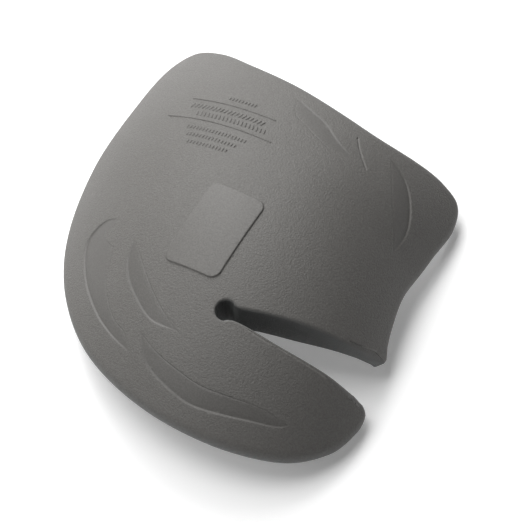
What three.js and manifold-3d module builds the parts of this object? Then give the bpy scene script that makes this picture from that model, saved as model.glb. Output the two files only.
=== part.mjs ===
// A moulded hip pad for the right hip: one domed foam shell, hollow underneath,
// with a slot that runs in from one side to a round hole.
// Plan frame, in millimetres: +Y to the waist edge, +X to the slotted side, +Z out of the dome.

import * as THREE from 'three';
import { mergeVertices } from 'three/addons/utils/BufferGeometryUtils.js';
import Module from 'manifold-3d';

// Plan size
const WIDTH = 190;
const LENGTH = 208;

// Dome: radii of the arcs that fall away from the crown
const RADIUS_PLAIN_SIDE = 126;
const RADIUS_SLOTTED_SIDE = 75;
const RADIUS_TO_WAIST = 215;
const RADIUS_TO_THIGH = 167;
const STEEPEST_TILT = 76;           // degrees; past this an arc goes on as a straight slope
const TWIST_RADIUS = 735;           // twist of the dome: it falls by X times Y over this

// Wall
const WALL_MIDDLE = 20;
const WALL_RIM = 8.5;
const WALL_THINS_FROM = 0.35;       // share of the way from the hole to the rim
const WALL_UPRIGHT_AT_HOLE = 12;    // 0: walls square to the skin, large: walls upright
const WALL_UPRIGHT_AT_RIM = 0.8;
const RIM_ROUND = 4;
const SLOT_UPPER_ROUND = 1.5;
const SLOT_LOWER_ROUND = 1.2;
const HOLE_ROUND = 1.2;
const UNDERSIDE_ROUND = 2;
const UNDERSIDE_SHARE = 0.8;        // the underside's rounding is at most this share of the top's
const BEND_SHARE = 0.7;             // and the top's at most this share of the outline's bend radius
const ROUND_CHANGE = 0.5;           // how fast a rounding may change, per millimetre of outline
const NECK_ENDS = 0.2;              // shares of the slot's length where the hole's rounding ends
const MOUTH_STARTS = 0.75;          // and where the rim's begins

// Tips of the two lobes, in plan
const UPPER_TIP_RADIUS = 2.8;
const LOWER_TIP_RADIUS = 6;

// Slot-end hole and the slot's mouth into it
const HOLE_RADIUS = 4.6;
const HOLE_UPPER_ANGLE = 50;        // degrees from +X, where the hole meets the slot's edges
const HOLE_LOWER_ANGLE = -58;
const NECK_STEP = 0.8;              // the neck's two corners lie this far outside the hole
const NECK_UPPER_ANGLE = 36;
const NECK_LOWER_ANGLE = -31;

// Label plateau
const PLATEAU_WIDTH = 30.4;
const PLATEAU_LENGTH = 45.6;
const PLATEAU_CORNER = 5;
const PLATEAU_HEIGHT = 0.7;
const PLATEAU_TURN = -4;            // degrees about Z

// Recesses and the groove
const RECESS_DEPTH = 0.9;
const RECESS_TIP = 0.02;            // share of its length where a recess is cut off short of its end
const GROOVE_WIDTH = 1.2;
const GROOVE_DEPTH = 0.6;

// Mesh steps
const STEPS_PER_KNOT = 3;
const CORNER_STEPS = 3;
const HOLE_STEPS = 12;
const LENGTH_STEPS = 20;            // per knot, to measure along the edge
const ROWS = 16;                    // from the hole to the outline
const ROW_CROWDING = 1.4;           // 1: even rows, more: rows crowd round the hole
const ROUND_STEPS = 3;
const RELIEF_STEPS = 16;
const PLATEAU_STEPS = 56;
const PLATEAU_RINGS = 4;

// Places in plan are shares of WIDTH and LENGTH from the middle of the plan.
const CROWN = { x: 0.071, y: -0.022 };
const HOLE = { x: 0.092, y: -0.250 };
const PLATEAU = { x: -0.033, y: -0.087 };

// The dome's radii towards its two sides, as shares of the two side radii, at three
// stations: the waist, the tightest place above the crown, and the thigh.
const TIGHTEST = 0.145;
const STATION_REACH = 0.385;
const DOME = {
  top: { plain: 1.02, slotted: 1.61 },
  middle: { plain: 1, slotted: 1 },
  low: { plain: 0.86, slotted: 1.26 },
};

// Outline, counter-clockwise from the upper lobe's tip to the lower lobe's tip, and the
// slot's two edges from the hole to those tips.
const OUTLINE = [
  // x, y
  [0.459, -0.117],   // tip of the upper lobe, before it is rounded
  [0.438, -0.042],
  [0.421, 0.062],
  [0.431, 0.192],
  [0.439, 0.304],
  [0.417, 0.360],    // corner at the waist, slotted side
  [0.360, 0.376],
  [0.166, 0.361],
  [-0.092, 0.404],
  [-0.220, 0.433],
  [-0.340, 0.476],
  [-0.434, 0.495],   // corner at the waist, plain side
  [-0.492, 0.447],
  [-0.503, 0.264],
  [-0.508, 0.072],
  [-0.460, -0.118],
  [-0.355, -0.287],
  [-0.203, -0.416],
  [0.003, -0.490],
  [0.218, -0.497],
  [0.375, -0.447],
  [0.455, -0.366],
  [0.480, -0.291],
  [0.486, -0.224],   // tip of the lower lobe, before it is rounded
];
const SLOT_UPPER = [[0.179, -0.220], [0.258, -0.198], [0.354, -0.170], [0.414, -0.147]];
const SLOT_LOWER = [[0.246, -0.263], [0.350, -0.253], [0.432, -0.239]];

// Recesses: a floor that ramps down from the border to a step at the riser.
// Both curves run between the same two ends, with the riser to the left of the border.
const RECESSES = [
  {
    // plain side crescent
    ends: [[-0.084, -0.400], [-0.292, -0.104]],
    riser: [[-0.154, -0.374], [-0.227, -0.331], [-0.314, -0.248], [-0.363, -0.155], [-0.336, -0.108]],
    border: [[-0.123, -0.359], [-0.164, -0.338], [-0.232, -0.267], [-0.257, -0.199]],
  },
  {
    // inner leaf
    ends: [[0.014, -0.331], [-0.221, -0.150]],
    riser: [[-0.072, -0.324], [-0.144, -0.282], [-0.187, -0.243], [-0.212, -0.203]],
    border: [[-0.050, -0.297], [-0.120, -0.245]],
  },
  {
    // lower crescent
    ends: [[0.349, -0.389], [-0.092, -0.346]],
    riser: [
      [0.321, -0.408], [0.253, -0.430], [0.180, -0.447], [0.116, -0.454], [0.056, -0.445], [-0.036, -0.409],
    ],
    border: [[0.264, -0.392], [0.195, -0.403], [0.115, -0.409], [0.046, -0.398], [-0.019, -0.380]],
  },
  {
    // waist leaf
    ends: [[-0.052, 0.350], [0.172, 0.249]],
    riser: [[0.014, 0.325], [0.060, 0.306], [0.101, 0.278], [0.152, 0.253]],
    border: [[-0.028, 0.295], [0.018, 0.269], [0.072, 0.244], [0.099, 0.235], [0.144, 0.235]],
  },
  {
    // slotted side crescent
    ends: [[0.230, 0.320], [0.356, 0.097]],
    riser: [[0.292, 0.291], [0.334, 0.244], [0.361, 0.175]],
    border: [[0.255, 0.277], [0.289, 0.214], [0.331, 0.146]],
  },
];
const GROOVE = [[0.142, 0.312], [0.167, 0.278], [0.204, 0.240]];

const wasm = await Module();
wasm.setup();

const radians = THREE.MathUtils.degToRad;
const { lerp, smoothstep } = THREE.MathUtils;
const UP = new THREE.Vector3(0, 0, 1);

function place([x, y]) {
  return new THREE.Vector3(x * WIDTH, y * LENGTH, 0);
}

function curveThrough(points) {
  return new THREE.CatmullRomCurve3(points, false, 'centripetal');
}

// Dome

function arcDrop(run, radius) {
  const reach = radius * Math.sin(radians(STEEPEST_TILT));
  const onArc = Math.min(run, reach);
  return radius - Math.sqrt(radius ** 2 - onArc ** 2) + (run - onArc) * Math.tan(radians(STEEPEST_TILT));
}

function radiusAt(side, y) {
  const u = (y - TIGHTEST * LENGTH) / (STATION_REACH * LENGTH);
  const top = DOME.top[side];
  const middle = DOME.middle[side];
  const low = DOME.low[side];
  return middle + (top - low) / 2 * Math.tanh(u)
    + ((top + low) / 2 - middle) * Math.tanh(Math.abs(u) ** 1.5);
}

function height(px, py) {
  const x = px - CROWN.x * WIDTH;
  const y = py - CROWN.y * LENGTH;
  const across = x < 0
    ? arcDrop(-x, RADIUS_PLAIN_SIDE * radiusAt('plain', y))
    : arcDrop(x, RADIUS_SLOTTED_SIDE * radiusAt('slotted', y));
  const along = y < 0 ? arcDrop(-y, RADIUS_TO_THIGH) : arcDrop(y, RADIUS_TO_WAIST);
  return -across - along - x * y / TWIST_RADIUS;
}

function skinPoint(plan) {
  return new THREE.Vector3(plan.x, plan.y, height(plan.x, plan.y));
}

function skinNormal(plan) {
  const step = 0.5;                   // to either side, for the slope
  const slopeX = (height(plan.x + step, plan.y) - height(plan.x - step, plan.y)) / (2 * step);
  const slopeY = (height(plan.x, plan.y + step) - height(plan.x, plan.y - step)) / (2 * step);
  return new THREE.Vector3(-slopeX, -slopeY, 1).normalize();
}

function wallDirection(plan, j) {
  const upright = lerp(WALL_UPRIGHT_AT_HOLE, WALL_UPRIGHT_AT_RIM, rowShare(j));
  return skinNormal(plan).addScaledVector(UP, upright).normalize();
}

// Edge: one closed curve round the plan, through the hole, the slot and the outline

const holeCentre = place([HOLE.x, HOLE.y]);

function roundHole(degrees, radius) {
  const angle = radians(degrees);
  return new THREE.Vector3(Math.cos(angle), Math.sin(angle), 0).multiplyScalar(radius).add(holeCentre);
}

// Points of the arc that rounds a corner between two straight runs.
function cornerArc(before, corner, after, radius) {
  const back = before.clone().sub(corner).normalize();
  const ahead = after.clone().sub(corner).normalize();
  const half = back.angleTo(ahead) / 2;
  const centre = back.clone().add(ahead).setLength(radius / Math.sin(half)).add(corner);
  const first = back.multiplyScalar(radius / Math.tan(half)).add(corner).sub(centre);
  const points = [];
  for (let n = 0; n <= CORNER_STEPS; n += 1) {
    const turn = (Math.PI - 2 * half) * n / CORNER_STEPS;
    points.push(first.clone().applyAxisAngle(UP, turn).add(centre));
  }
  return points;
}

// Clockwise round the hole, from the lower corner of its neck to the upper one.
function holeArc() {
  const points = [];
  for (let n = 0; n <= HOLE_STEPS; n += 1) {
    points.push(roundHole(lerp(360 + HOLE_LOWER_ANGLE, HOLE_UPPER_ANGLE, n / HOLE_STEPS), HOLE_RADIUS));
  }
  return points;
}

const knots = OUTLINE.map(place);
const upperKnots = [roundHole(NECK_UPPER_ANGLE, HOLE_RADIUS + NECK_STEP), ...SLOT_UPPER.map(place)];
const lowerKnots = [roundHole(NECK_LOWER_ANGLE, HOLE_RADIUS + NECK_STEP), ...SLOT_LOWER.map(place)];
const outerKnots = [
  ...cornerArc(upperKnots.at(-1), knots[0], knots[1], UPPER_TIP_RADIUS),
  ...knots.slice(1, -1),
  ...cornerArc(knots.at(-2), knots.at(-1), lowerKnots.at(-1), LOWER_TIP_RADIUS),
];
const edgeKnots = [...holeArc(), ...upperKnots, ...outerKnots, ...lowerKnots.reverse()];
const edgeCurve = new THREE.CatmullRomCurve3(edgeKnots, true, 'centripetal');
edgeCurve.arcLengthDivisions = edgeKnots.length * LENGTH_STEPS;
const lengths = edgeCurve.getLengths();

// Where a knot lies, as a share of the curve's whole length.
function shareOfKnot(knot) {
  return lengths[knot * LENGTH_STEPS] / lengths.at(-1);
}

const upperCorner = HOLE_STEPS;
const upperTip = upperCorner + upperKnots.length + 1;
const lowerTip = upperTip + outerKnots.length - 1;
const sections = (outerKnots.length - 1) * STEPS_PER_KNOT;
const rowShare = (j) => (j / ROWS) ** ROW_CROWDING;

// Edge rounding along the slot: the hole's at one end, the rim's at the mouth.
function slotRound(j, round) {
  const pastNeck = smoothstep(rowShare(j), 0, NECK_ENDS);
  const nearMouth = smoothstep(rowShare(j), MOUTH_STARTS, 1);
  return lerp(lerp(HOLE_ROUND, round, pastNeck), RIM_ROUND, nearMouth);
}

// The edge as one counter-clockwise loop of patch cells, with its place and its rounding.
const loop = [];
for (let j = 0; j < ROWS; j += 1) {
  const share = lerp(shareOfKnot(upperCorner), shareOfKnot(upperTip), rowShare(j));
  loop.push({ i: 0, j, share, round: slotRound(j, SLOT_UPPER_ROUND) });
}
for (let i = 0; i < sections; i += 1) {
  const knot = upperTip + Math.floor(i / STEPS_PER_KNOT);
  const share = lerp(shareOfKnot(knot), shareOfKnot(knot + 1), i % STEPS_PER_KNOT / STEPS_PER_KNOT);
  loop.push({ i, j: ROWS, share, round: RIM_ROUND });
}
for (let j = ROWS; j > 0; j -= 1) {
  const share = lerp(1, shareOfKnot(lowerTip), rowShare(j));
  loop.push({ i: sections, j, share, round: slotRound(j, SLOT_LOWER_ROUND) });
}
for (let i = sections; i > 0; i -= 1) {
  const share = lerp(shareOfKnot(upperCorner), 0, i / sections);
  loop.push({ i, j: 0, share, round: HOLE_ROUND });
}
for (const mark of loop) {
  mark.point = edgeCurve.getPointAt(mark.share);
  mark.along = edgeCurve.getTangentAt(mark.share);
}

function neighbours(index) {
  return [loop[(index + loop.length - 1) % loop.length], loop[(index + 1) % loop.length]];
}

// Radius at which the edge bends round a mark on the skin, endless where it bends inwards.
function bendRadius(index) {
  const { point } = loop[index];
  const [before, after] = neighbours(index).map((mark) => skinPoint(mark.point));
  const run = skinPoint(point).sub(before);
  const next = after.sub(skinPoint(point));
  const turn = Math.atan2(run.clone().cross(next).dot(skinNormal(point)), run.dot(next));
  return turn > 0 ? (run.length() + next.length()) / 2 / turn : Infinity;
}

// Tight bends get a smaller rounding, which grows again to either side.
const largestRound = loop.map((_, index) => BEND_SHARE * bendRadius(index));
for (const mark of loop) {
  for (const [index, other] of loop.entries()) {
    const away = mark.point.distanceTo(other.point);
    mark.round = Math.min(mark.round, largestRound[index] + ROUND_CHANGE * away);
  }
}

// Where the flat of the skin ends and the edge rounding starts, in plan.
for (const mark of loop) {
  const outwards = new THREE.Vector3(mark.along.y, -mark.along.x, 0);
  const normal = skinNormal(mark.point);
  const fall = outwards.dot(normal) / normal.z;
  mark.inset = mark.point.clone().addScaledVector(outwards, -mark.round / Math.hypot(1, fall));
}

// Skin: a patch between the hole, the outline and the slot's two edges

function insetAt(i, j) {
  return loop.find((mark) => mark.i === i && mark.j === j).inset;
}

const rowNumbers = [...Array(ROWS + 1).keys()];
const sectionNumbers = [...Array(sections + 1).keys()];
const insetUpper = rowNumbers.map((j) => insetAt(0, j));
const insetLower = rowNumbers.map((j) => insetAt(sections, j));
const insetOuter = sectionNumbers.map((i) => insetAt(i, ROWS));
const insetHole = sectionNumbers.map((i) => insetAt(i, 0));

function bow(edge, j) {
  const chord = edge[0].clone().lerp(edge[ROWS], rowShare(j));
  return edge[j].clone().sub(chord);
}

function patchPoint(i, j) {
  const share = i / sections;
  return insetHole[i].clone().lerp(insetOuter[i], rowShare(j))
    .addScaledVector(bow(insetUpper, j), (1 - share) ** 3)
    .addScaledVector(bow(insetLower, j), share ** 3);
}

function wallAt(j) {
  return lerp(WALL_MIDDLE, WALL_RIM, smoothstep(rowShare(j), WALL_THINS_FROM, 1));
}

function edgeRings(mark) {
  const normal = skinNormal(mark.inset);
  const slope = mark.along.dot(normal) / normal.z;
  const outwards = mark.along.clone().addScaledVector(UP, -slope).cross(normal).normalize();
  const down = wallDirection(mark.inset, mark.j).negate();
  const corner = skinPoint(mark.inset).addScaledVector(outwards, mark.round);
  const foot = corner.clone().addScaledVector(down, wallAt(mark.j));
  const under = Math.min(UNDERSIDE_ROUND, mark.round * UNDERSIDE_SHARE);
  const rings = [];
  for (let step = 1; step <= ROUND_STEPS; step += 1) {
    const angle = Math.PI / 2 * step / ROUND_STEPS;
    rings.push(corner.clone()
      .addScaledVector(outwards, -mark.round * (1 - Math.sin(angle)))
      .addScaledVector(down, mark.round * (1 - Math.cos(angle))));
  }
  for (let step = 0; step <= ROUND_STEPS - 1; step += 1) {
    const angle = Math.PI / 2 * step / (ROUND_STEPS - 1);
    rings.push(foot.clone()
      .addScaledVector(outwards, -under * (1 - Math.cos(angle)))
      .addScaledVector(down, -under * (1 - Math.sin(angle))));
  }
  return rings;
}

function shellGeometry() {
  const positions = [];
  const triangles = [];
  const add = (point) => positions.push(point.x, point.y, point.z) / 3 - 1;
  const quad = (a, b, c, d) => triangles.push(a, b, c, a, c, d);

  const top = [];
  const under = [];
  for (let i = 0; i <= sections; i += 1) {
    top.push([]);
    under.push([]);
    for (let j = 0; j <= ROWS; j += 1) {
      const plan = patchPoint(i, j);
      const skin = skinPoint(plan);
      top[i].push(add(skin));
      under[i].push(add(skin.clone().addScaledVector(wallDirection(plan, j), -wallAt(j))));
    }
  }
  for (let i = 0; i < sections; i += 1) {
    for (let j = 0; j < ROWS; j += 1) {
      quad(top[i][j], top[i][j + 1], top[i + 1][j + 1], top[i + 1][j]);
      quad(under[i][j], under[i + 1][j], under[i + 1][j + 1], under[i][j + 1]);
    }
  }
  const edge = loop.map((mark) => [
    top[mark.i][mark.j],
    ...edgeRings(mark).map(add),
    under[mark.i][mark.j],
  ]);
  edge.forEach((rings, index) => {
    const next = edge[(index + 1) % edge.length];
    for (let k = 0; k + 1 < rings.length; k += 1) {
      quad(rings[k], rings[k + 1], next[k + 1], next[k]);
    }
  });
  return meshOf(positions, triangles);
}

// Relief

function meshOf(positions, triangles) {
  const geometry = new THREE.BufferGeometry();
  geometry.setAttribute('position', new THREE.Float32BufferAttribute(positions, 3));
  geometry.setIndex(triangles);
  return geometry;
}

function lift(plan, amount) {
  return skinPoint(plan).addScaledVector(skinNormal(plan), amount);
}

// A closed bar whose four-cornered section changes along its length.
function barGeometry(quads) {
  const positions = quads.flat().flatMap((point) => [point.x, point.y, point.z]);
  const triangles = [];
  for (let n = 0; n + 1 < quads.length; n += 1) {
    for (let k = 0; k < 4; k += 1) {
      const a = 4 * n + k;
      const b = 4 * n + (k + 1) % 4;
      triangles.push(a, b, b + 4, a, b + 4, a + 4);
    }
  }
  const last = 4 * (quads.length - 1);
  triangles.push(0, 2, 1, 0, 3, 2, last, last + 1, last + 2, last, last + 2, last + 3);
  return meshOf(positions, triangles);
}

function recessGeometry({ ends, riser, border }) {
  const riserCurve = curveThrough([ends[0], ...riser, ends[1]].map(place));
  const borderCurve = curveThrough([ends[0], ...border, ends[1]].map(place));
  const quads = [];
  for (let n = 0; n <= RELIEF_STEPS; n += 1) {
    const share = lerp(RECESS_TIP, 1 - RECESS_TIP, n / RELIEF_STEPS);
    const step = riserCurve.getPointAt(share);
    const start = borderCurve.getPointAt(share);
    const depth = RECESS_DEPTH * Math.sqrt(Math.sin(Math.PI * share));
    quads.push([lift(start, 0), lift(step, -depth), lift(step, RECESS_DEPTH), lift(start, RECESS_DEPTH)]);
  }
  return barGeometry(quads);
}

function grooveGeometry() {
  const curve = curveThrough(GROOVE.map(place));
  const quads = [];
  for (let n = 0; n <= RELIEF_STEPS; n += 1) {
    const middle = curve.getPointAt(n / RELIEF_STEPS);
    const along = curve.getTangentAt(n / RELIEF_STEPS);
    const side = new THREE.Vector3(along.y, -along.x, 0).multiplyScalar(GROOVE_WIDTH / 2);
    const left = middle.clone().sub(side);
    const right = middle.clone().add(side);
    const floor = [lift(right, -GROOVE_DEPTH), lift(left, -GROOVE_DEPTH)];
    quads.push([...floor, lift(left, GROOVE_DEPTH), lift(right, GROOVE_DEPTH)]);
  }
  return barGeometry(quads);
}

function plateauGeometry() {
  const shape = new THREE.Shape();
  const x = PLATEAU_WIDTH / 2;
  const y = PLATEAU_LENGTH / 2;
  const r = PLATEAU_CORNER;
  shape.absarc(x - r, y - r, r, 0, Math.PI / 2);
  shape.absarc(r - x, y - r, r, Math.PI / 2, Math.PI);
  shape.absarc(r - x, r - y, r, Math.PI, Math.PI * 1.5);
  shape.absarc(x - r, r - y, r, Math.PI * 1.5, Math.PI * 2);
  const ring = shape.getSpacedPoints(PLATEAU_STEPS).slice(0, PLATEAU_STEPS);
  const centre = place([PLATEAU.x, PLATEAU.y]);
  const levels = [];
  for (let n = 0; n <= PLATEAU_RINGS; n += 1) {
    levels.push([n / PLATEAU_RINGS, 1]);
  }
  levels.push([1, -1], [0, -1]);
  const positions = [];
  for (const [share, side] of levels) {
    for (const point of ring) {
      const plan = new THREE.Vector3(point.x * share, point.y * share, 0)
        .applyAxisAngle(UP, radians(PLATEAU_TURN)).add(centre);
      const spot = lift(plan, side * PLATEAU_HEIGHT);
      positions.push(spot.x, spot.y, spot.z);
    }
  }
  const triangles = [];
  const count = ring.length;
  for (let level = 0; level + 1 < levels.length; level += 1) {
    for (let k = 0; k < count; k += 1) {
      const a = level * count + k;
      const b = level * count + (k + 1) % count;
      triangles.push(a, a + count, b + count, a, b + count, b);
    }
  }
  return meshOf(positions, triangles);
}

// Solids

function solidOf(geometry) {
  const merged = mergeVertices(geometry, 1e-3);
  return new wasm.Manifold(new wasm.Mesh({
    numProp: 3,
    vertProperties: new Float32Array(merged.attributes.position.array),
    triVerts: new Uint32Array(merged.index.array),
  }));
}

function geometryOf(solid) {
  const mesh = solid.getMesh();
  return meshOf(Array.from(mesh.vertProperties), Array.from(mesh.triVerts));
}

function padGeometry() {
  let pad = solidOf(shellGeometry()).add(solidOf(plateauGeometry()));
  for (const recess of RECESSES) {
    pad = pad.subtract(solidOf(recessGeometry(recess)));
  }
  return geometryOf(pad.subtract(solidOf(grooveGeometry())));
}

// Rest: the pad lies on the three places of its rim that its weight settles on.

function massCentre(geometry) {
  const corner = [new THREE.Vector3(), new THREE.Vector3(), new THREE.Vector3()];
  const centre = new THREE.Vector3();
  let volume = 0;
  for (let n = 0; n < geometry.index.count; n += 3) {
    for (let k = 0; k < 3; k += 1) {
      corner[k].fromBufferAttribute(geometry.attributes.position, geometry.index.getX(n + k));
    }
    const [a, b, c] = corner;
    const cell = a.dot(b.clone().cross(c)) / 6;
    volume += cell;
    centre.addScaledVector(a.clone().add(b).add(c), cell / 4);
  }
  return centre.divideScalar(volume);
}

function lowestRimPoints() {
  return loop.filter((mark) => mark.j === ROWS)
    .map((mark) => edgeRings(mark).reduce((low, point) => (point.z < low.z ? point : low)));
}

// Of the planes that rest against three rim points with the whole rim above them,
// the one that stands highest under the mass centre is where the pad comes to rest.
function restingNormal(centre) {
  const rim = lowestRimPoints();
  const slack = 1e-6;
  let best = { level: -Infinity, normal: UP };
  for (let a = 0; a < rim.length; a += 1) {
    for (let b = a + 1; b < rim.length; b += 1) {
      for (let c = b + 1; c < rim.length; c += 1) {
        const plane = new THREE.Plane().setFromCoplanarPoints(rim[a], rim[b], rim[c]);
        const { normal } = plane;
        const stands = normal.z > 0 && rim.every((point) => plane.distanceToPoint(point) > -slack);
        const across = normal.x * centre.x + normal.y * centre.y;
        const level = -(plane.constant + across) / normal.z;
        if (stands && level > best.level) {
          best = { level, normal };
        }
      }
    }
  }
  return best.normal;
}

const foam = new THREE.MeshStandardMaterial({ name: 'foam', color: 0x4a4846, roughness: 0.75, metalness: 0 });
const hipPad = new THREE.Mesh(padGeometry(), foam);
hipPad.name = 'hip_pad';
hipPad.quaternion.setFromUnitVectors(restingNormal(massCentre(hipPad.geometry)), UP);

const box = new THREE.Box3().setFromObject(hipPad, true);
hipPad.position.set(-(box.min.x + box.max.x) / 2, -(box.min.y + box.max.y) / 2, -box.min.z);

const part = new THREE.Group();
part.add(hipPad);

export default part;
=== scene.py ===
"""The looks of a moulded foam hip pad, lying dome up on a pale floor.

The pad's mesh is made in a flat sheet of section, row and ring numbers. Bmesh operators cut,
refine and extrude that sheet, and then each of its points is put where those numbers say.
"""

import math

import bmesh
import bpy
import numpy as np
from mathutils import Matrix, Vector


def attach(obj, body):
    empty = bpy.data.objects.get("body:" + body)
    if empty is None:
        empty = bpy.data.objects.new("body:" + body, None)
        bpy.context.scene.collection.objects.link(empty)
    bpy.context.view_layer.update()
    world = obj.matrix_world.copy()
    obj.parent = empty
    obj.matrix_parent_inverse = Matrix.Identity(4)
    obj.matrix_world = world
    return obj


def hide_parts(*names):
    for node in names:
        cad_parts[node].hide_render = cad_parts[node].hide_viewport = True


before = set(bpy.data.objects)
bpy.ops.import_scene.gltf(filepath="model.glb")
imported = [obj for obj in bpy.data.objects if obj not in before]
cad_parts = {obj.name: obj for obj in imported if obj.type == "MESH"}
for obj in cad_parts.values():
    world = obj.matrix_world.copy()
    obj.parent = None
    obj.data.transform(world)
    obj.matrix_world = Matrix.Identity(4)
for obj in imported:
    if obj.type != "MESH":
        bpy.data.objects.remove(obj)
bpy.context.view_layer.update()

# Plan size, in metres
WIDTH = 0.190
LENGTH = 0.208

# Dome: radii of the arcs that fall away from the crown
SIDE_RADIUS = {"plain": 0.126, "slotted": 0.075}
RADIUS_TO_WAIST = 0.215
RADIUS_TO_THIGH = 0.167
STEEPEST_TILT = math.radians(76)
TWIST_RADIUS = 0.735
CROWN = np.array([0.071, -0.022])
TIGHTEST = 0.145
STATION_REACH = 0.385
DOME = {
    "top": {"plain": 1.02, "slotted": 1.61},
    "middle": {"plain": 1.0, "slotted": 1.0},
    "low": {"plain": 0.86, "slotted": 1.26},
}

# Wall and edge rounding
WALL_MIDDLE = 0.020
WALL_RIM = 0.0085
WALL_THINS_FROM = 0.35
WALL_UPRIGHT_AT_HOLE = 12
WALL_UPRIGHT_AT_RIM = 0.8
RIM_ROUND = 0.004
SLOT_UPPER_ROUND = 0.0015
SLOT_LOWER_ROUND = 0.0012
HOLE_ROUND = 0.0012
UNDERSIDE_ROUND = 0.002
UNDERSIDE_SHARE = 0.8
BEND_SHARE = 0.7
ROUND_CHANGE = 0.5
NECK_ENDS = 0.2
MOUTH_STARTS = 0.75

# Slot-end hole and lobe tips
HOLE = np.array([0.092, -0.250])
HOLE_RADIUS = 0.0046
HOLE_UPPER_ANGLE = 50
HOLE_LOWER_ANGLE = -58
NECK_STEP = 0.0008
NECK_UPPER_ANGLE = 36
NECK_LOWER_ANGLE = -31
UPPER_TIP_RADIUS = 0.0028
LOWER_TIP_RADIUS = 0.006

# Places below are shares of WIDTH and LENGTH from the middle of the plan.
OUTLINE = [
    (0.459, -0.117), (0.438, -0.042), (0.421, 0.062), (0.431, 0.192), (0.439, 0.304),
    (0.417, 0.360), (0.360, 0.376), (0.166, 0.361), (-0.092, 0.404), (-0.220, 0.433),
    (-0.340, 0.476), (-0.434, 0.495), (-0.492, 0.447), (-0.503, 0.264), (-0.508, 0.072),
    (-0.460, -0.118), (-0.355, -0.287), (-0.203, -0.416), (0.003, -0.490), (0.218, -0.497),
    (0.375, -0.447), (0.455, -0.366), (0.480, -0.291), (0.486, -0.224),
]
SLOT_UPPER = [(0.179, -0.220), (0.258, -0.198), (0.354, -0.170), (0.414, -0.147)]
SLOT_LOWER = [(0.246, -0.263), (0.350, -0.253), (0.432, -0.239)]

# How the pad rests: its lean from the plan frame, and where the plan frame's origin lies
REST_LEAN = math.radians(5.100)
REST_LEAN_AXIS = math.radians(73.10)
PLAN_ORIGIN = Vector((0.00738, -0.00089, 0.06296))

# Mesh steps
SECTIONS = 96
ROWS = 24
CORNER_STEPS = 3
HOLE_STEPS = 12
CURVE_STEPS = 40
ROUND_STEPS = 5
UNDER_STEPS = 3
LAST_RING = ROUND_STEPS + UNDER_STEPS + 2
RECESS_POINTS = 61
GROOVE_STRIDE = 4
LONGEST_EDGE = 0.0018
RELIEF_PASSES = 5
RELIEF_SAMPLES = 5
RELIEF_TOLERANCE = 0.00002
SHORTEST_RELIEF_EDGE = 0.00028

# Small distances, in metres, and the turn in radians below which the edge counts as straight
SLOPE_STEP = 0.0005
NEAR_MARGIN = 0.002
MERGE_DISTANCE = 1e-6
SMALLEST_RUN = 1e-9
SMALLEST_TURN = 1e-6


def placed(shares):
    return np.array(shares, float) * (WIDTH, LENGTH)


def smoothstep(value, start, end):
    share = np.clip((value - start) / (end - start), 0, 1)
    return share * share * (3 - 2 * share)


def unit(vectors):
    return vectors / np.linalg.norm(vectors, axis=-1, keepdims=True)


# Dome

def arc_drop(run, radius):
    reach = radius * math.sin(STEEPEST_TILT)
    on_arc = np.minimum(run, reach)
    return radius - np.sqrt(radius ** 2 - on_arc ** 2) + (run - on_arc) * math.tan(STEEPEST_TILT)


def side_radius(side, y):
    u = (y - TIGHTEST * LENGTH) / (STATION_REACH * LENGTH)
    top, middle, low = (DOME[station][side] for station in ("top", "middle", "low"))
    lean = (top - low) / 2 * np.tanh(u)
    pinch = ((top + low) / 2 - middle) * np.tanh(np.abs(u) ** 1.5)
    return SIDE_RADIUS[side] * (middle + lean + pinch)


def height(plan):
    x, y = (plan - CROWN * (WIDTH, LENGTH)).T
    sideways = np.where(x < 0, side_radius("plain", y), side_radius("slotted", y))
    lengthways = np.where(y < 0, RADIUS_TO_THIGH, RADIUS_TO_WAIST)
    return -arc_drop(np.abs(x), sideways) - arc_drop(np.abs(y), lengthways) - x * y / TWIST_RADIUS


def skin(plan):
    return np.column_stack([plan, height(plan)])


def skin_normal(plan):
    slope = [(height(plan + move) - height(plan - move)) / (2 * SLOPE_STEP)
             for move in SLOPE_STEP * np.eye(2)]
    return unit(np.column_stack([-slope[0], -slope[1], np.ones(len(plan))]))


def wall_direction(plan, row):
    upright = WALL_UPRIGHT_AT_HOLE + (WALL_UPRIGHT_AT_RIM - WALL_UPRIGHT_AT_HOLE) * row
    return unit(skin_normal(plan) + upright[:, None] * np.array([0, 0, 1]))


# Curves in plan

def smooth_curve(points, closed=False):
    """A centripetal Catmull-Rom curve through the points, with CURVE_STEPS between each two."""
    points = np.array(points, float)
    if closed:
        around = np.vstack([points[-1:], points, points[:2]])
    else:
        around = np.vstack([2 * points[0] - points[1], points, 2 * points[-1] - points[-2]])
    before, here, after, beyond = around[:-3], around[1:-2], around[2:-1], around[3:]
    gaps = [np.sqrt(np.linalg.norm(b - a, axis=1))[:, None]
            for a, b in ((before, here), (here, after), (after, beyond))]
    leave = ((here - before) / gaps[0] - (after - before) / (gaps[0] + gaps[1])
             + (after - here) / gaps[1])
    arrive = ((after - here) / gaps[1] - (beyond - here) / (gaps[1] + gaps[2])
              + (beyond - after) / gaps[2])
    leave, arrive = leave * gaps[1], arrive * gaps[1]
    t = (np.arange(CURVE_STEPS) / CURVE_STEPS)[None, :, None]
    here, after, leave, arrive = (a[:, None, :] for a in (here, after, leave, arrive))
    curve = ((2 * t ** 3 - 3 * t ** 2 + 1) * here + (t ** 3 - 2 * t ** 2 + t) * leave
             + (3 * t ** 2 - 2 * t ** 3) * after + (t ** 3 - t ** 2) * arrive)
    last = points[:1] if closed else points[-1:]
    return np.vstack([curve.reshape(-1, 2), last])


def measured(curve):
    """Length along a curve at each of its points."""
    return np.concatenate([[0], np.cumsum(np.linalg.norm(np.diff(curve, axis=0), axis=1))])


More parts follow.
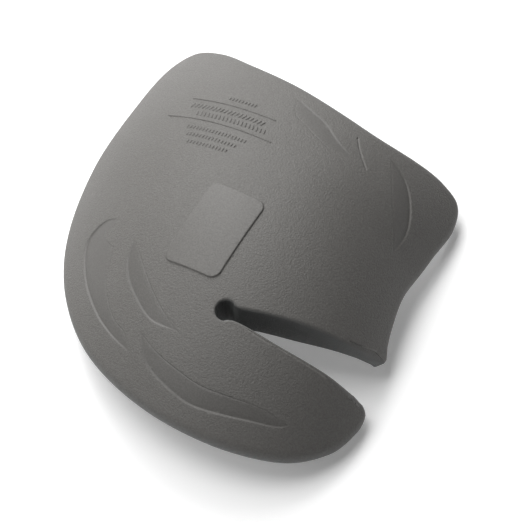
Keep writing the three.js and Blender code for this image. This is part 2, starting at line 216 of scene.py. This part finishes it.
def along_curve(curve, shares):
    lengths = measured(curve)
    return np.column_stack([np.interp(shares * lengths[-1], lengths, column) for column in curve.T])


def round_hole(degrees, radius):
    angle = np.radians(degrees)
    return HOLE * (WIDTH, LENGTH) + radius * np.array([np.cos(angle), np.sin(angle)])


def corner_arc(before, corner, after, radius):
    """Points of the arc that rounds a corner between two straight runs."""
    back, ahead = unit(before - corner), unit(after - corner)
    half = math.acos(back @ ahead) / 2
    centre = corner + unit(back + ahead) * radius / math.sin(half)
    first = corner + back * radius / math.tan(half) - centre
    start = math.atan2(first[1], first[0])
    turns = start + (math.pi - 2 * half) * np.arange(CORNER_STEPS + 1) / CORNER_STEPS
    return centre + radius * np.column_stack([np.cos(turns), np.sin(turns)])


# Edge: one closed curve round the plan, through the hole, the slot and the outline

def edge_knots():
    """The edge's knots, and the numbers of the hole's upper corner and of the two tips."""
    knots = placed(OUTLINE)
    upper = np.vstack([round_hole(NECK_UPPER_ANGLE, HOLE_RADIUS + NECK_STEP), placed(SLOT_UPPER)])
    lower = np.vstack([round_hole(NECK_LOWER_ANGLE, HOLE_RADIUS + NECK_STEP), placed(SLOT_LOWER)])
    hole_angles = np.linspace(360 + HOLE_LOWER_ANGLE, HOLE_UPPER_ANGLE, HOLE_STEPS + 1)
    hole = np.array([round_hole(angle, HOLE_RADIUS) for angle in hole_angles])
    upper_tip = corner_arc(upper[-1], knots[0], knots[1], UPPER_TIP_RADIUS)
    lower_tip = corner_arc(knots[-2], knots[-1], lower[-1], LOWER_TIP_RADIUS)
    outer = np.vstack([upper_tip, knots[1:-1], lower_tip])
    first_outer = len(hole) + len(upper)
    marks = (HOLE_STEPS, first_outer, first_outer + len(outer) - 1)
    return np.vstack([hole, upper, outer, lower[::-1]]), marks


KNOTS, CORNERS = edge_knots()
EDGE = smooth_curve(KNOTS, closed=True)
EDGE_LENGTHS = measured(EDGE)
CORNER_LENGTHS = EDGE_LENGTHS[np.array([*CORNERS, len(KNOTS)]) * CURVE_STEPS]


def edge_place(section, row):
    """Length along the edge of a point on the border of the section and row sheet."""
    hole_end, upper_tip, lower_tip, whole = CORNER_LENGTHS
    on_outline = upper_tip + (lower_tip - upper_tip) * section
    place = np.where(row > 0.5, on_outline, hole_end * (1 - section))
    on_border = (row <= 0) | (row >= 1)
    place = np.where((section <= 0) & ~on_border, hole_end + (upper_tip - hole_end) * row, place)
    return np.where((section >= 1) & ~on_border, whole + (lower_tip - whole) * row, place)


def edge_rounds():
    """Rounding along the edge, no larger than its bends allow on the sloping skin."""
    hole_end, upper_tip, lower_tip, whole = CORNER_LENGTHS
    upper_share = (EDGE_LENGTHS - hole_end) / (upper_tip - hole_end)
    lower_share = (whole - EDGE_LENGTHS) / (whole - lower_tip)
    rounds = np.where(EDGE_LENGTHS < hole_end, HOLE_ROUND, RIM_ROUND)
    for share, own in ((upper_share, SLOT_UPPER_ROUND), (lower_share, SLOT_LOWER_ROUND)):
        round_here = HOLE_ROUND + (own - HOLE_ROUND) * smoothstep(share, 0, NECK_ENDS)
        round_here += (RIM_ROUND - round_here) * smoothstep(share, MOUTH_STARTS, 1)
        rounds = np.where((share >= 0) & (share <= 1), round_here, rounds)
    on_skin = skin(EDGE[:-1])
    run = on_skin - np.roll(on_skin, 1, axis=0)
    following = np.roll(run, -1, axis=0)
    turn = np.arctan2(np.einsum("ij,ij->i", np.cross(run, following), skin_normal(EDGE[:-1])),
                      np.einsum("ij,ij->i", run, following))
    spacing = (np.linalg.norm(run, axis=1) + np.linalg.norm(following, axis=1)) / 2
    largest = BEND_SHARE * spacing / np.maximum(turn, SMALLEST_TURN)
    largest[turn <= SMALLEST_TURN] = np.inf
    away = np.linalg.norm(EDGE[:, None] - EDGE[None, :-1], axis=2)
    return np.minimum(rounds, (largest[None] + ROUND_CHANGE * away).min(axis=1))


EDGE_ROUNDS = edge_rounds()
EDGE_TANGENTS = unit(np.roll(EDGE[:-1], -1, axis=0) - np.roll(EDGE[:-1], 1, axis=0))
EDGE_TANGENTS = np.vstack([EDGE_TANGENTS, EDGE_TANGENTS[:1]])


def at_edge(values, place):
    values = values if values.ndim == 2 else values[:, None]
    return np.column_stack([np.interp(place, EDGE_LENGTHS, column) for column in values.T])


def edge_section(place):
    """Rounding, direction along the edge and inset point at lengths along the edge."""
    point, rounding = at_edge(EDGE, place), at_edge(EDGE_ROUNDS, place)
    along = unit(at_edge(EDGE_TANGENTS, place))
    outwards = np.column_stack([along[:, 1], -along[:, 0]])
    normal = skin_normal(point)
    fall = np.einsum("ij,ij->i", outwards, normal[:, :2]) / normal[:, 2]
    inset = point - outwards * rounding / np.hypot(1, fall)[:, None]
    return rounding, along, inset


def patch_plan(section, row):
    """Plan places of the sheet's points, between the hole, the outline and the slot's edges."""
    none, full = np.zeros_like(section), np.ones_like(section)

    def inset(a, b):
        return edge_section(edge_place(a, b))[2]

    def bow(side, share):
        chord = inset(side, none) * (1 - row[:, None]) + inset(side, full) * row[:, None]
        return (inset(side, row) - chord) * (share ** 3)[:, None]

    straight = inset(section, none) * (1 - row[:, None]) + inset(section, full) * row[:, None]
    return straight + bow(none, 1 - section) + bow(full, section)


def ring_points(section, row, ring):
    """Points of the edge's rings: the rounding, the wall and the underside's rounding."""
    rounding, along, inset = edge_section(edge_place(section, row))
    normal = skin_normal(inset)
    slope = np.einsum("ij,ij->i", along, normal[:, :2]) / normal[:, 2]
    outwards = unit(np.cross(np.column_stack([along, -slope]), normal))
    down = -wall_direction(inset, row)
    wall = wall_at(row)[:, None]
    under = np.minimum(UNDERSIDE_ROUND, rounding * UNDERSIDE_SHARE)
    top_angle = (np.minimum(ring, ROUND_STEPS) * math.pi / 2 / ROUND_STEPS)[:, None]
    low_angle = (np.maximum(ring - ROUND_STEPS - 1, 0) * math.pi / 2 / UNDER_STEPS)[:, None]
    corner = skin(inset) + outwards * rounding
    top = (corner - outwards * rounding * (1 - np.sin(top_angle))
           + down * rounding * (1 - np.cos(top_angle)))
    low = (corner + down * wall - outwards * under * (1 - np.cos(low_angle))
           - down * under * (1 - np.sin(low_angle)))
    return np.where((ring <= ROUND_STEPS)[:, None], top, low)


def wall_at(row):
    return WALL_MIDDLE + (WALL_RIM - WALL_MIDDLE) * smoothstep(row, WALL_THINS_FROM, 1)


# Relief of the skin: raised plateau, recesses, groove and plain ribs

PLATEAU = np.array([-0.033, -0.087])
PLATEAU_SIZE = np.array([0.0304, 0.0456])
PLATEAU_CORNER = 0.005
PLATEAU_HEIGHT = 0.0007
PLATEAU_TURN = math.radians(-4)
STEP_WIDTH = 0.0008

RECESS_DEPTH = 0.0009
RECESS_MARK_DEPTH = RECESS_DEPTH / 4
RISER_WIDTH = 0.0008
CREASE_DEPTH = 0.00022
CREASE_WIDTH = 0.0004
GROOVE_WIDTH = 0.0012
GROOVE_DEPTH = 0.0006

# Each recess ramps down from a crease along its border to a step at its riser, between the same
# two ends. "share" is its share of the full depth.
RECESSES = {
    "plain side crescent": {
        "share": 1.0,
        "ends": [(-0.084, -0.400), (-0.292, -0.104)],
        "riser": [(-0.154, -0.374), (-0.227, -0.331), (-0.314, -0.248), (-0.363, -0.155),
                  (-0.336, -0.108)],
        "border": [(-0.123, -0.359), (-0.164, -0.338), (-0.232, -0.267), (-0.257, -0.199)],
    },
    "inner leaf": {
        "share": 0.8,
        "ends": [(0.014, -0.331), (-0.221, -0.150)],
        "riser": [(-0.072, -0.324), (-0.144, -0.282), (-0.187, -0.243), (-0.212, -0.203)],
        "border": [(-0.050, -0.297), (-0.120, -0.245)],
    },
    "lower crescent": {
        "share": 1.1,
        "ends": [(0.349, -0.389), (-0.092, -0.346)],
        "riser": [(0.321, -0.408), (0.253, -0.430), (0.180, -0.447), (0.116, -0.454),
                  (0.056, -0.445), (-0.036, -0.409)],
        "border": [(0.264, -0.392), (0.195, -0.403), (0.115, -0.409), (0.046, -0.398),
                   (-0.019, -0.380)],
    },
    "waist leaf": {
        "share": 0.6,
        "ends": [(-0.052, 0.350), (0.172, 0.249)],
        "riser": [(0.014, 0.325), (0.060, 0.306), (0.101, 0.278), (0.152, 0.253)],
        "border": [(-0.028, 0.295), (0.018, 0.269), (0.072, 0.244), (0.099, 0.235), (0.144, 0.235)],
    },
    "slotted side crescent": {
        "share": 0.9,
        "ends": [(0.230, 0.320), (0.356, 0.097)],
        "riser": [(0.292, 0.291), (0.334, 0.244), (0.361, 0.175)],
        "border": [(0.255, 0.277), (0.289, 0.214), (0.331, 0.146)],
    },
}
GROOVE = [(0.142, 0.312), (0.167, 0.278), (0.204, 0.240)]

# Plain ribs near the waist edge: two straight lines, and rows of short ribs. A row has its two
# ends, its ribs' length and width, the distance between them, and their lean in degrees.
RIB_HEIGHT = 0.0004
RIB_STEP = 0.0003
RIB_CORNER_SHARE = 0.9
RIB_LINE_WIDTH = 0.0009
LONG_RIBS = {"length": 0.0032, "width": 0.0010, "pitch": 0.0021}
SHORT_RIBS = {"length": 0.0022, "width": 0.0009, "pitch": 0.0018}
RIB_LINES = [
    [(-0.304, 0.266), (-0.059, 0.250)],
    [(-0.340, 0.203), (-0.033, 0.181)],
]
RIB_ROWS = [
    {"ends": [(-0.290, 0.242), (-0.080, 0.227)], **LONG_RIBS, "lean": 18},
    {"ends": [(-0.262, 0.216), (-0.062, 0.204)], **LONG_RIBS, "lean": -18},
    {"ends": [(-0.205, 0.281), (-0.130, 0.276)], **SHORT_RIBS, "lean": 0},
    {"ends": [(-0.262, 0.170), (-0.088, 0.158)], **SHORT_RIBS, "lean": 0},
    {"ends": [(-0.250, 0.147), (-0.104, 0.137)], **SHORT_RIBS, "lean": 0},
    {"ends": [(-0.235, 0.124), (-0.125, 0.117)], **SHORT_RIBS, "lean": 0},
]


def distance_to(curve, plan):
    """Distance from plan points to a curve, and the share of its length at the nearest place."""
    distance = np.full(len(plan), np.inf)
    share = np.zeros(len(plan))
    lengths = measured(curve) / measured(curve)[-1]
    for n in range(len(curve) - 1):
        start, run = curve[n], curve[n + 1] - curve[n]
        t = np.clip((plan - start) @ run / (run @ run), 0, 1)
        away = np.linalg.norm(plan - start - t[:, None] * run, axis=1)
        nearer = away < distance
        distance = np.where(nearer, away, distance)
        share = np.where(nearer, lengths[n] + t * (lengths[n + 1] - lengths[n]), share)
    return distance, share


def inside(polygon, plan):
    """Whether plan points lie inside a closed polygon."""
    crossings = np.zeros(len(plan), int)
    for a, b in zip(polygon, np.roll(polygon, -1, axis=0)):
        spans = (a[1] > plan[:, 1]) != (b[1] > plan[:, 1])
        at = a[0] + (plan[:, 1] - a[1]) / (b[1] - a[1] if b[1] != a[1] else 1) * (b[0] - a[0])
        crossings += spans & (plan[:, 0] < at)
    return crossings % 2 == 1


def near(plan, points, margin=NEAR_MARGIN):
    """Numbers of the plan points that lie in the box round some points, or close to it."""
    low, high = np.min(points, axis=0) - margin, np.max(points, axis=0) + margin
    return np.nonzero(np.all((plan > low) & (plan < high), axis=1))[0]


def recess_side(recess, side):
    first, last = recess["ends"]
    curve = smooth_curve(placed([first, *recess[side], last]))
    return along_curve(curve, np.linspace(0, 1, RECESS_POINTS))


def recess_depths(plan):
    depth = np.zeros(len(plan))
    for recess in RECESSES.values():
        riser, border = recess_side(recess, "riser"), recess_side(recess, "border")
        close = near(plan, np.vstack([riser, border]))
        within = close[inside(np.vstack([border, riser[::-1]]), plan[close])]
        to_riser, share = distance_to(riser, plan[within])
        to_border, _ = distance_to(border, plan[within])
        ramp = to_border / np.maximum(to_border + to_riser, SMALLEST_RUN)
        fade = recess["share"] * np.sqrt(np.sin(math.pi * share))
        crease = 1 - smoothstep(np.abs(to_border - CREASE_WIDTH), 0, CREASE_WIDTH)
        ramp = ramp * smoothstep(to_riser, 0, RISER_WIDTH)
        depth[within] = fade * (RECESS_DEPTH * ramp + CREASE_DEPTH * crease)
    return depth


def turned(plan, centre, turn):
    """Plan points in the frame of a form that is turned about its centre."""
    x, y = (plan - centre).T
    cos, sin = math.cos(turn), math.sin(turn)
    return np.column_stack([x * cos + y * sin, y * cos - x * sin])


def outside_box(points, half, corner):
    """Distance outside a box with round corners, below zero inside it."""
    away = np.abs(points) - (half - corner)
    return np.linalg.norm(np.maximum(away, 0), axis=1) + np.minimum(away.max(axis=1), 0) - corner


def plateau_share(plan):
    local = turned(plan, placed(PLATEAU), PLATEAU_TURN)
    away = outside_box(local, PLATEAU_SIZE / 2, PLATEAU_CORNER)
    return 1 - smoothstep(away, -STEP_WIDTH, 0)


def rib_share(plan):
    share = np.zeros(len(plan))
    for line in RIB_LINES:
        line = placed(line)
        close = near(plan, line)
        away = distance_to(line, plan[close])[0]
        half = RIB_LINE_WIDTH / 2
        share[close] = np.maximum(share[close], 1 - smoothstep(away, half - RIB_STEP, half))
    for row in RIB_ROWS:
        start, end = placed(row["ends"])
        run = end - start
        row_turn = math.atan2(run[1], run[0])
        close = near(plan, [start, end], row["length"])
        local = turned(plan[close], start, row_turn)
        last = round(math.hypot(*run) / row["pitch"])
        number = np.clip(np.round(local[:, 0] / row["pitch"]), 0, last)
        local[:, 0] -= number * row["pitch"]
        local = turned(local, (0, 0), -math.radians(row["lean"]))
        half = np.array([row["width"], row["length"]]) / 2
        away = outside_box(local, half, half.min() * RIB_CORNER_SHARE)
        share[close] = np.maximum(share[close], 1 - smoothstep(away, -RIB_STEP, 0))
    return share


def groove_share(plan):
    curve = smooth_curve(placed(GROOVE))
    share = np.zeros(len(plan))
    close = near(plan, curve)
    away = distance_to(curve[::GROOVE_STRIDE], plan[close])[0]
    share[close] = 1 - smoothstep(away, 0, GROOVE_WIDTH / 2)
    return share


def relief(plan):
    """How far the skin stands proud at plan points."""
    return (PLATEAU_HEIGHT * plateau_share(plan) + RIB_HEIGHT * rib_share(plan)
            - GROOVE_DEPTH * groove_share(plan) - recess_depths(plan))


# Mesh: the sheet's ring number is 0 on the skin and LAST_RING on the underside

def pad_points(sheet):
    """Places in the plan frame of the sheet's points."""
    section, row, ring = sheet.T
    points = np.zeros_like(sheet)
    top, under = ring < 0.5, ring > LAST_RING - 0.5
    edge = ~top & ~under
    plan = patch_plan(section[top], row[top])
    points[top] = skin(plan) + skin_normal(plan) * relief(plan)[:, None]
    plan = patch_plan(section[under], row[under])
    points[under] = skin(plan) - wall_direction(plan, row[under]) * wall_at(row[under])[:, None]
    points[edge] = ring_points(section[edge], row[edge], ring[edge])
    return points


def sheet_of(bm):
    return np.array([vertex.co for vertex in bm.verts])


def ends_of(edges):
    return np.array([[vertex.index for vertex in edge.verts] for edge in edges])


def is_on_skin(vertex):
    return vertex.co.z < 0.5


def is_wide_skin_face(face):
    return len(face.verts) > 3 and all(is_on_skin(vertex) for vertex in face.verts)


def cut_long_edges(bm):
    """Halves each edge that is longer on the pad than LONGEST_EDGE, until none is."""
    while True:
        points = pad_points(sheet_of(bm))
        ends = ends_of(bm.edges)
        lengths = np.linalg.norm(points[ends[:, 0]] - points[ends[:, 1]], axis=1)
        edges = [edge for edge, length in zip(bm.edges, lengths) if length > LONGEST_EDGE]
        if not edges:
            return
        bmesh.ops.subdivide_edges(bm, edges=edges, cuts=1, use_grid_fill=True)
        bm.verts.index_update()
        bmesh.ops.triangulate(bm, faces=[face for face in bm.faces if len(face.verts) > 4])


def cut_for_relief(bm):
    """Halves the skin's edges that the relief bends, down to SHORTEST_RELIEF_EDGE."""
    samples = np.linspace(0, 1, RELIEF_SAMPLES)[:, None]
    bmesh.ops.triangulate(bm, faces=[face for face in bm.faces if is_wide_skin_face(face)])
    for _ in range(RELIEF_PASSES):
        bm.verts.index_update()
        sheet = sheet_of(bm)
        edges = [edge for edge in bm.edges if all(is_on_skin(vertex) for vertex in edge.verts)]
        ends = ends_of(edges)
        plan = patch_plan(sheet[:, 0], sheet[:, 1])
        first, last = plan[ends[:, 0]], plan[ends[:, 1]]
        lengths = np.linalg.norm(last - first, axis=1)
        between = (first[:, None] * (1 - samples) + last[:, None] * samples).reshape(-1, 2)
        heights = relief(between).reshape(len(edges), -1)
        chord = heights[:, :1] * (1 - samples.T) + heights[:, -1:] * samples.T
        bent = np.abs(heights - chord).max(axis=1) > RELIEF_TOLERANCE
        cuts = bent & (lengths > SHORTEST_RELIEF_EDGE)
        bmesh.ops.subdivide_edges(bm, edges=[edges[n] for n in np.nonzero(cuts)[0]], cuts=1)
        wide = [face for face in bm.faces if len(face.verts) > 4 or is_wide_skin_face(face)]
        bmesh.ops.triangulate(bm, faces=wide)


def of_kind(geometry, kind):
    return [item for item in geometry if isinstance(item, kind)]


def pad_sheet():
    """The closed sheet: skin, edge rings and underside, in section, row and ring numbers."""
    bm = bmesh.new()
    bmesh.ops.create_grid(bm, x_segments=SECTIONS, y_segments=ROWS, size=0.5)
    bmesh.ops.translate(bm, verts=bm.verts, vec=(0.5, 0.5, 0))
    cut_long_edges(bm)
    under = bmesh.ops.duplicate(bm, geom=bm.verts[:] + bm.edges[:] + bm.faces[:])["geom"]
    bmesh.ops.translate(bm, verts=of_kind(under, bmesh.types.BMVert), vec=(0, 0, LAST_RING))
    bmesh.ops.reverse_faces(bm, faces=of_kind(under, bmesh.types.BMFace))
    border = [edge for edge in bm.edges if edge.is_boundary and is_on_skin(edge.verts[0])]
    for _ in range(LAST_RING):
        ring = bmesh.ops.extrude_edge_only(bm, edges=border)["geom"]
        bmesh.ops.translate(bm, verts=of_kind(ring, bmesh.types.BMVert), vec=(0, 0, 1))
        border = of_kind(ring, bmesh.types.BMEdge)
    bmesh.ops.remove_doubles(bm, verts=bm.verts, dist=MERGE_DISTANCE)
    return bm


def pad_mesh():
    """The pad at rest, with attributes for its smooth places, its recesses and its rim."""
    bm = pad_sheet()
    cut_for_relief(bm)
    sheet = sheet_of(bm)
    plan = patch_plan(sheet[:, 0], sheet[:, 1])
    on_skin = sheet[:, 2] < 0.5
    # recess: mask of the recesses, which drives their painted shade in the foam's colour and their
    # smooth skin
    recess = smoothstep(recess_depths(plan), 0, RECESS_MARK_DEPTH) * on_skin
    smooth = np.maximum(plateau_share(plan) * on_skin, recess)
    # rim: mask of the rounded rim and wall, which drives their painted bounce-light tint and their
    # weaker grain
    rim = smoothstep(sheet[:, 2], 0, ROUND_STEPS)
    bmesh.ops.triangulate(bm, faces=[face for face in bm.faces if len(face.verts) > 4])
    mesh = bpy.data.meshes.new("hip_pad_foam")
    bm.to_mesh(mesh)
    bm.free()
    mesh.vertices.foreach_set("co", pad_points(sheet).ravel())
    for name, values in (("smooth", smooth), ("recess", recess), ("rim", rim)):
        mesh.attributes.new(name, "FLOAT", "POINT").data.foreach_set("value", values)
    mesh.transform(rest_matrix())
    lowest = min(vertex.co.z for vertex in mesh.vertices)
    mesh.transform(Matrix.Translation((0, 0, -lowest)))
    for polygon in mesh.polygons:
        polygon.use_smooth = True
    fixed = bmesh.new()
    fixed.from_mesh(mesh)
    bmesh.ops.recalc_face_normals(fixed, faces=fixed.faces)
    fixed.to_mesh(mesh)
    fixed.free()
    return mesh


def rest_matrix():
    axis = Vector((math.cos(REST_LEAN_AXIS), math.sin(REST_LEAN_AXIS), 0))
    return Matrix.Translation(PLAN_ORIGIN) @ Matrix.Rotation(REST_LEAN, 4, axis)


# Materials: the scales of the foam's patterns are per metre

FOAM_IOR = 1.5
FOAM_SPECULAR = 0.35
PATCH_SCALE = 16
PATCH_STOPS = (0.35, (0.122, 0.118, 0.111)), (0.68, (0.142, 0.138, 0.131))
SPECK_SCALE = 1300
SPECK_STOPS = (0.34, (0.104, 0.100, 0.094)), (0.68, (0.164, 0.159, 0.151))
SPECK_SPREAD_SCALE = 300
SPECK_SHARE = (0.40, 0.70)
# Painted shade: skin inside the recesses is darkened towards this colour, by this share
RECESS_PAINTED_SHADE_COLOR = (0.100, 0.097, 0.093)
RECESS_PAINTED_SHADE_SHARE = 0.3
# Painted light and shade: the rounded rim and wall take this cool grey tint for light bounced from
# the floor, a little darker than the top skin
RIM_PAINTED_BOUNCE_COLOR = (0.116, 0.119, 0.117)

CELL_SCALE = 1150
CELL_SMOOTHNESS = 0.5
CELL_SHARE = -0.8
GRAIN_SCALE = 2600
GRAIN_HEIGHT = 0.00026
GRAIN_STRENGTH = (0.70, 0.14)
GRAIN_LOST_AT_RIM = 0.12
SHEEN_SCALE = 22
ROUGHNESS = (0.54, 0.62)
ROUGHNESS_LOST_WHERE_SMOOTH = -0.05

WHITE = (1, 1, 1, 1)
FLOOR_COLOR = (0.94, 0.94, 0.94, 1)
FLOOR_GLOW = 0.22
FLOOR_ROUGHNESS = 0.9


def foam_material():
    material = bpy.data.materials.new("moulded foam")
    material.use_nodes = True
    nodes, links = material.node_tree.nodes, material.node_tree.links
    shader = nodes["Principled BSDF"]
    shader.inputs["IOR"].default_value = FOAM_IOR
    shader.inputs["Specular IOR Level"].default_value = FOAM_SPECULAR
    place = nodes.new("ShaderNodeTexCoord").outputs["Object"]

    def noise(scale, detail):
        node = nodes.new("ShaderNodeTexNoise")
        node.inputs["Scale"].default_value = scale
        node.inputs["Detail"].default_value = detail
        links.new(place, node.inputs["Vector"])
        return node.outputs["Fac"]

    def attribute(name):
        node = nodes.new("ShaderNodeAttribute")
        node.attribute_name = name
        return node.outputs["Fac"]

    def ramp(source, *stops):
        node = nodes.new("ShaderNodeValToRGB")
        for element, (position, color) in zip(node.color_ramp.elements, stops):
            element.position = position
            element.color = (*color, 1)
        links.new(source, node.inputs["Fac"])
        return node.outputs["Color"]

    def mixed(share, first, second):
        node = nodes.new("ShaderNodeMix")
        node.data_type = "RGBA"
        links.new(share, node.inputs[0])
        for source, socket in ((first, node.inputs[6]), (second, node.inputs[7])):
            if isinstance(source, tuple):
                socket.default_value = (*source, 1)
            else:
                links.new(source, socket)
        return node.outputs[2]

    def reach(source, low, high):
        node = nodes.new("ShaderNodeMapRange")
        links.new(source, node.inputs["Value"])
        node.inputs["To Min"].default_value = low
        node.inputs["To Max"].default_value = high
        return node.outputs["Result"]

    def maths(operation, first, second):
        node = nodes.new("ShaderNodeMath")
        node.operation = operation
        for source, socket in ((first, node.inputs[0]), (second, node.inputs[1])):
            if isinstance(source, float):
                socket.default_value = source
            else:
                links.new(source, socket)
        return node.outputs[0]

    smooth, rim = attribute("smooth"), attribute("rim")
    patches = ramp(noise(PATCH_SCALE, 3), *PATCH_STOPS)
    specks = ramp(noise(SPECK_SCALE, 2), *SPECK_STOPS)
    skin_color = mixed(reach(noise(SPECK_SPREAD_SCALE, 1), *SPECK_SHARE), patches, specks)
    # Painted shade: the recesses' colour is darkened
    recess_shade_share = maths("MULTIPLY", attribute("recess"), RECESS_PAINTED_SHADE_SHARE)
    skin_with_recess_shade = mixed(recess_shade_share, skin_color, RECESS_PAINTED_SHADE_COLOR)
    # Painted light and shade: the rim and wall are tinted cool grey for floor-bounce light
    links.new(mixed(rim, skin_with_recess_shade, RIM_PAINTED_BOUNCE_COLOR), shader.inputs["Base Color"])

    cells = nodes.new("ShaderNodeTexVoronoi")
    cells.feature = "SMOOTH_F1"
    cells.inputs["Scale"].default_value = CELL_SCALE
    cells.inputs["Smoothness"].default_value = CELL_SMOOTHNESS
    links.new(place, cells.inputs["Vector"])
    cell_height = maths("MULTIPLY", cells.outputs["Distance"], CELL_SHARE)
    grain = maths("ADD", cell_height, noise(GRAIN_SCALE, 2))
    lost = maths("MULTIPLY", rim, GRAIN_LOST_AT_RIM)
    strength = maths("SUBTRACT", reach(smooth, *GRAIN_STRENGTH), lost)
    bump = nodes.new("ShaderNodeBump")
    bump.inputs["Distance"].default_value = GRAIN_HEIGHT
    links.new(strength, bump.inputs["Strength"])
    links.new(grain, bump.inputs["Height"])
    links.new(bump.outputs["Normal"], shader.inputs["Normal"])

    polish = maths("MULTIPLY", smooth, ROUGHNESS_LOST_WHERE_SMOOTH)
    roughness = maths("ADD", reach(noise(SHEEN_SCALE, 4), *ROUGHNESS), polish)
    links.new(roughness, shader.inputs["Roughness"])
    return material


def floor_material():
    material = bpy.data.materials.new("pale floor")
    material.use_nodes = True
    shader = material.node_tree.nodes["Principled BSDF"]
    shader.inputs["Base Color"].default_value = FLOOR_COLOR
    shader.inputs["Emission Color"].default_value = WHITE
    shader.inputs["Emission Strength"].default_value = FLOOR_GLOW
    shader.inputs["Roughness"].default_value = FLOOR_ROUGHNESS
    return material


# Camera, lights and floor

CAMERA_TARGET = Vector((0.0215, -0.025, 0))
CAMERA_DISTANCE = 1.0
CAMERA_TILT = math.radians(58.77)
CAMERA_TURN = math.radians(27.63)
SENSOR = 36
PICTURE = 522
FOCAL_PIXELS = 2188

FLOOR_REACH = 3
WORLD_STRENGTH = 0.02
LIGHT_DISTANCE = 1.3
LIGHTS = {
    "softbox behind": {"direction": (-0.45, 0.60, 0.67), "size": 0.9, "power": 13.5},
    "softbox low behind": {"direction": (-0.67, 0.67, 0.31), "size": 0.8, "power": 2.5},
    "softbox left": {"direction": (-0.53, -0.53, 0.67), "size": 0.8, "power": 3},
    "softbox above": {"direction": (-0.37, 0.0, 0.93), "size": 1.0, "power": 12},
}


def make_camera():
    data = bpy.data.cameras.new("camera")
    data.sensor_width = SENSOR
    data.lens = SENSOR * FOCAL_PIXELS / PICTURE
    camera = bpy.data.objects.new("camera", data)
    turned_away = (Matrix.Rotation(CAMERA_TURN, 4, "Z")
                   @ Matrix.Rotation(math.pi / 2 - CAMERA_TILT, 4, "X"))
    camera.matrix_world = (rest_matrix() @ Matrix.Translation(CAMERA_TARGET) @ turned_away
                           @ Matrix.Translation((0, 0, CAMERA_DISTANCE)))
    bpy.context.scene.collection.objects.link(camera)
    bpy.context.scene.camera = camera


def make_floor():
    bm = bmesh.new()
    bmesh.ops.create_grid(bm, x_segments=1, y_segments=1, size=FLOOR_REACH)
    mesh = bpy.data.meshes.new("floor")
    bm.to_mesh(mesh)
    bm.free()
    mesh.materials.append(floor_material())
    floor = bpy.data.objects.new("floor", mesh)
    bpy.context.scene.collection.objects.link(floor)


def make_light(name, direction, size, power):
    data = bpy.data.lights.new(name, "AREA")
    data.shape = "DISK"
    data.size = size
    data.energy = power
    light = bpy.data.objects.new(name, data)
    light.location = Vector(direction).normalized() * LIGHT_DISTANCE
    light.rotation_euler = light.location.to_track_quat("Z", "Y").to_euler()
    bpy.context.scene.collection.objects.link(light)


def make_world():
    bpy.context.scene.view_settings.view_transform = "Standard"
    world = bpy.data.worlds.new("studio")
    world.use_nodes = True
    background = world.node_tree.nodes["Background"]
    background.inputs["Color"].default_value = WHITE
    background.inputs["Strength"].default_value = WORLD_STRENGTH
    bpy.context.scene.world = world


def make_pad():
    mesh = pad_mesh()
    mesh.materials.append(foam_material())
    pad = bpy.data.objects.new("hip_pad_foam", mesh)
    bpy.context.scene.collection.objects.link(pad)
    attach(pad, "root")
    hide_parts("hip_pad")


make_camera()
make_world()
for light_name, light_values in LIGHTS.items():
    make_light(light_name, **light_values)
make_floor()
make_pad()
